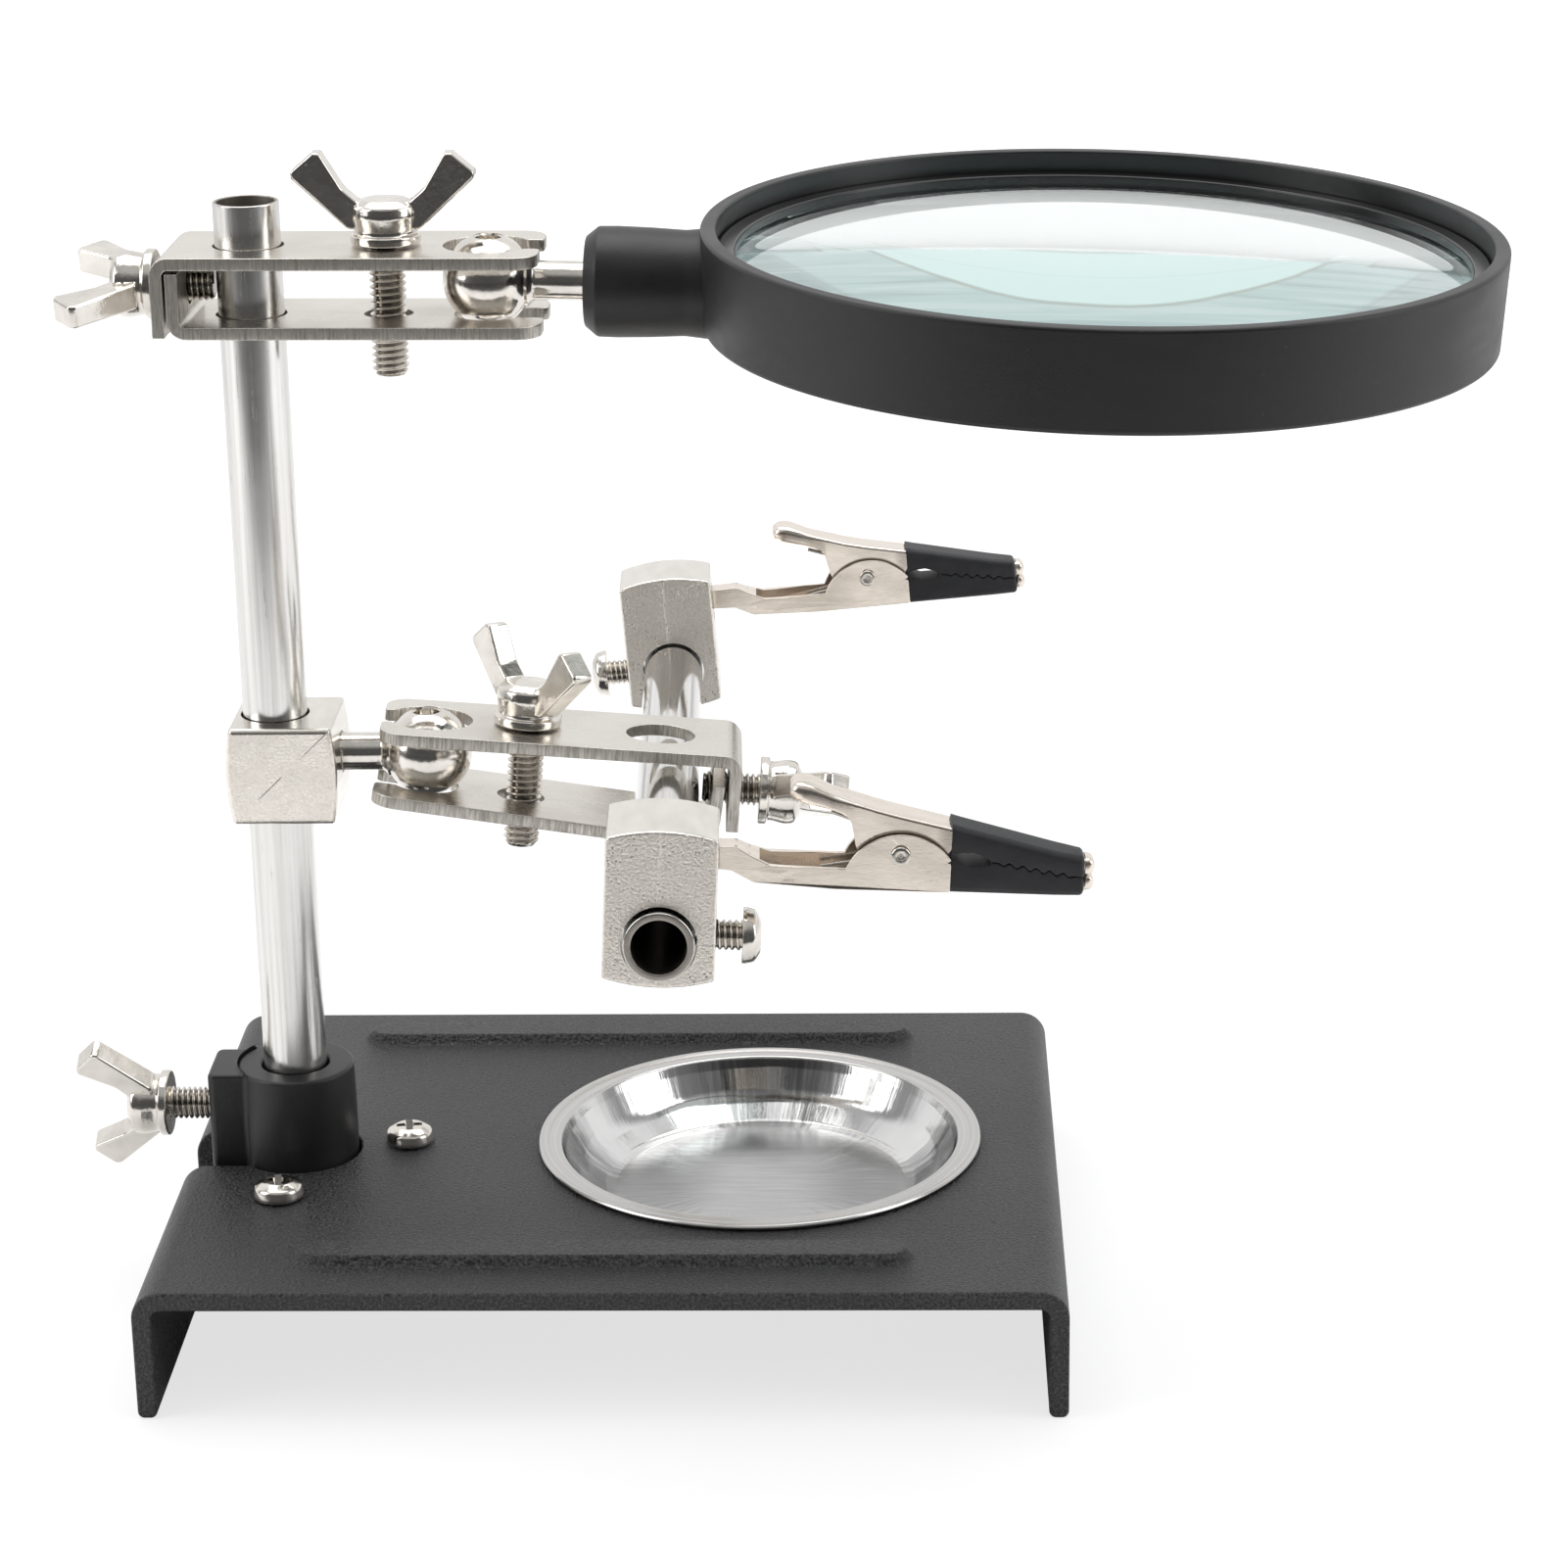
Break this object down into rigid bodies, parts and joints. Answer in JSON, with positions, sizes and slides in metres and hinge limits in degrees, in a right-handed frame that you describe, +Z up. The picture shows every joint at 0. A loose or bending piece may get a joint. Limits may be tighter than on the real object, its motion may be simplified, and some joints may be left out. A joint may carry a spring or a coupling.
{
  "type": "helping hands magnifier",
  "caption": "Bench soldering stand: folded steel base with a small parts dish, upright tube, ball-jointed magnifying lens on a clamp arm, and a cross bar with swivelling spring clips.",
  "frame": {"origin": "on the bench under the middle of the whole object's envelope at rest", "axes": "+X along the long side of the base, from the upright tube towards the lens, +Y towards the back, along the cross bar, +Z up"},
  "size_m": [0.2052, 0.1518, 0.1688],
  "materials": {
    "black_powder_coat": "fine textured black powder coat, half matte",
    "black_plastic": "moulded black plastic, half matte",
    "lens_frame_plastic": "moulded black plastic with a soft gloss",
    "black_rubber": "soft matte black rubber",
    "nickel_plate": "satin warm nickel plate on pressed steel, sheared edges",
    "bright_nickel": "bright warm nickel plate",
    "nickel_casting": "nickel plated casting, matte grained end faces and bright rounded sides",
    "chrome_tube": "polished tube",
    "stainless_dish": "turned stainless sheet with fine rings",
    "spring_steel": "bare spring wire",
    "lens_glass": "clear polished glass, faintly green"
  },
  "bodies": {
    "base": {"base_plate": "black_powder_coat", "post_holder": "black_plastic", "holder_nut": "bright_nickel", "base_screw_front": "bright_nickel", "base_screw_right": "bright_nickel", "base_screw_rear": "bright_nickel"},
    "dish": {"dish": "stainless_dish"},
    "base_wing": {"base_wing_screw": "bright_nickel"},
    "post": {"post": "chrome_tube"},
    "upper_clamp": {"upper_top_plate": "nickel_plate", "upper_bottom_plate": "nickel_plate"},
    "upper_bolt": {"upper_wing_bolt": "bright_nickel"},
    "upper_screw": {"upper_wing_screw": "bright_nickel"},
    "lens_stud": {"lens_ball_stud": "bright_nickel"},
    "lens_head": {"lens_frame": "lens_frame_plastic", "lens": "lens_glass", "lens_retaining_ring": "lens_frame_plastic"},
    "post_block": {"post_block": "nickel_casting"},
    "post_block_screw": {"post_block_screw": "bright_nickel"},
    "lower_stud": {"lower_ball_stud": "bright_nickel"},
    "lower_clamp": {"lower_top_plate": "nickel_plate", "lower_bottom_plate": "nickel_plate"},
    "lower_bolt": {"lower_wing_bolt": "bright_nickel"},
    "lower_screw": {"lower_wing_screw": "bright_nickel"},
    "bar": {"cross_bar": "chrome_tube"},
    "block_front": {"clip_block_front": "nickel_casting"},
    "block_screw_front": {"block_screw_front": "bright_nickel"},
    "clip_front": {"clip_front_lower_jaw": "nickel_plate", "clip_front_lower_sleeve": "black_rubber", "clip_front_pivot_pin": "bright_nickel", "clip_front_spring": "spring_steel"},
    "jaw_front": {"clip_front_upper_jaw": "nickel_plate", "clip_front_upper_sleeve": "black_rubber"},
    "block_back": {"clip_block_back": "nickel_casting"},
    "block_screw_back": {"block_screw_back": "bright_nickel"},
    "clip_back": {"clip_back_lower_jaw": "nickel_plate", "clip_back_lower_sleeve": "black_rubber", "clip_back_pivot_pin": "bright_nickel", "clip_back_spring": "spring_steel"},
    "jaw_back": {"clip_back_upper_jaw": "nickel_plate", "clip_back_upper_sleeve": "black_rubber"}
  },
  "joints": [
    {"name": "dish_lift", "type": "slide", "parent": "base", "child": "dish", "axis": [0, 0, 1], "range_m": [0, 0.03]},
    {"name": "base_wing_turn", "type": "hinge", "parent": "base", "child": "base_wing", "pos_m": [-0.08986, -0.00167, 0.0266], "axis": [-1, 0, 0], "continuous": true},
    {"name": "post_swivel", "type": "hinge", "parent": "base", "child": "post", "pos_m": [-0.07136, -0.00167, 0], "axis": [0, 0, 1], "continuous": true},
    {"name": "lens_arm_swing", "type": "hinge", "parent": "post", "child": "upper_clamp", "pos_m": [-0.07136, -0.00167, 0.151], "axis": [0, 0, 1], "continuous": true},
    {"name": "upper_bolt_turn", "type": "hinge", "parent": "upper_clamp", "child": "upper_bolt", "pos_m": [-0.05208, -0.00186, 0.15608], "axis": [0.0061, -0.0001, 1], "continuous": true},
    {"name": "upper_screw_turn", "type": "hinge", "parent": "upper_clamp", "child": "upper_screw", "pos_m": [-0.08441, -0.00154, 0.15048], "axis": [-0.9999, 0.0101, 0.0061], "continuous": true},
    {"name": "lens_tilt", "type": "hinge", "parent": "upper_clamp", "child": "lens_stud", "pos_m": [-0.03801, -0.00201, 0.1508], "axis": [-0.0101, -0.9995, -0.0292], "range_deg": [-30, 60]},
    {"name": "lens_twist", "type": "hinge", "parent": "lens_stud", "child": "lens_head", "pos_m": [-0.03801, -0.00201, 0.1508], "axis": [0.9995, -0.0093, -0.0286], "range_deg": [-90, 90]},
    {"name": "clamp_height", "type": "slide", "parent": "post", "child": "post_block", "axis": [0, 0, 1], "range_m": [-0.02, 0.016]},
    {"name": "post_block_screw_turn", "type": "hinge", "parent": "post_block", "child": "post_block_screw", "pos_m": [-0.07136, 0.00973, 0.0804], "axis": [0, 1, 0], "continuous": true},
    {"name": "lower_stud_twist", "type": "hinge", "parent": "post_block", "child": "lower_stud", "pos_m": [-0.04946, -0.00167, 0.0817], "axis": [1, 0, 0], "range_deg": [-20, 20]},
    {"name": "lower_clamp_pitch", "type": "hinge", "parent": "lower_stud", "child": "lower_clamp", "pos_m": [-0.04946, -0.00167, 0.0817], "axis": [0.0409, -0.9982, 0.0442], "range_deg": [-15, 20]},
    {"name": "lower_bolt_turn", "type": "hinge", "parent": "lower_clamp", "child": "lower_bolt", "pos_m": [-0.03497, -0.0009, 0.08562], "axis": [0.0871, 0.0477, 0.9951], "continuous": true},
    {"name": "lower_screw_turn", "type": "hinge", "parent": "lower_clamp", "child": "lower_screw", "pos_m": [-0.00181, -0.00002, 0.07484], "axis": [0.9954, 0.0369, -0.0888], "continuous": true},
    {"name": "bar_slide", "type": "slide", "parent": "lower_clamp", "child": "bar", "axis": [-0.0409, 0.9982, -0.0442], "range_m": [-0.03, 0.03]},
    {"name": "block_turn_front", "type": "hinge", "parent": "bar", "child": "block_front", "pos_m": [-0.01227, -0.06767, 0.0793], "axis": [-0.0409, 0.9982, -0.0442], "range_deg": [-75, 30]},
    {"name": "block_screw_turn_front", "type": "hinge", "parent": "block_front", "child": "block_screw_front", "pos_m": [-0.00162, -0.06729, 0.07812], "axis": [0.9978, 0.0385, -0.0541], "continuous": true},
    {"name": "clip_swivel_front", "type": "hinge", "parent": "block_front", "child": "clip_front", "pos_m": [-0.00543, -0.06699, 0.08853], "axis": [0.9978, 0.0385, -0.0541], "continuous": true},
    {"name": "jaw_open_front", "type": "hinge", "parent": "clip_front", "child": "jaw_front", "pos_m": [0.01875, -0.06594, 0.08967], "axis": [0.0409, -0.9982, 0.0442], "range_deg": [0, 22], "stiffness_Nm_per_rad": 0.25, "springref_deg": -34.38, "deforming": ["clip_front_spring"]},
    {"name": "block_turn_back", "type": "hinge", "parent": "bar", "child": "block_back", "pos_m": [-0.01782, 0.06768, 0.0733], "axis": [-0.0409, 0.9982, -0.0442], "range_deg": [-75, 30]},
    {"name": "block_screw_turn_back", "type": "hinge", "parent": "block_back", "child": "block_screw_back", "pos_m": [-0.02843, 0.06718, 0.07188], "axis": [-0.9961, -0.0442, -0.0766], "continuous": true},
    {"name": "clip_swivel_back", "type": "hinge", "parent": "block_back", "child": "clip_back", "pos_m": [-0.01045, 0.06843, 0.08349], "axis": [0.9961, 0.0442, 0.0766], "continuous": true},
    {"name": "jaw_open_back", "type": "hinge", "parent": "clip_back", "child": "jaw_back", "pos_m": [0.01336, 0.0696, 0.08777], "axis": [0.0409, -0.9982, 0.0442], "range_deg": [0, 22], "stiffness_Nm_per_rad": 0.25, "springref_deg": -34.38, "deforming": ["clip_back_spring"]}
  ]
}
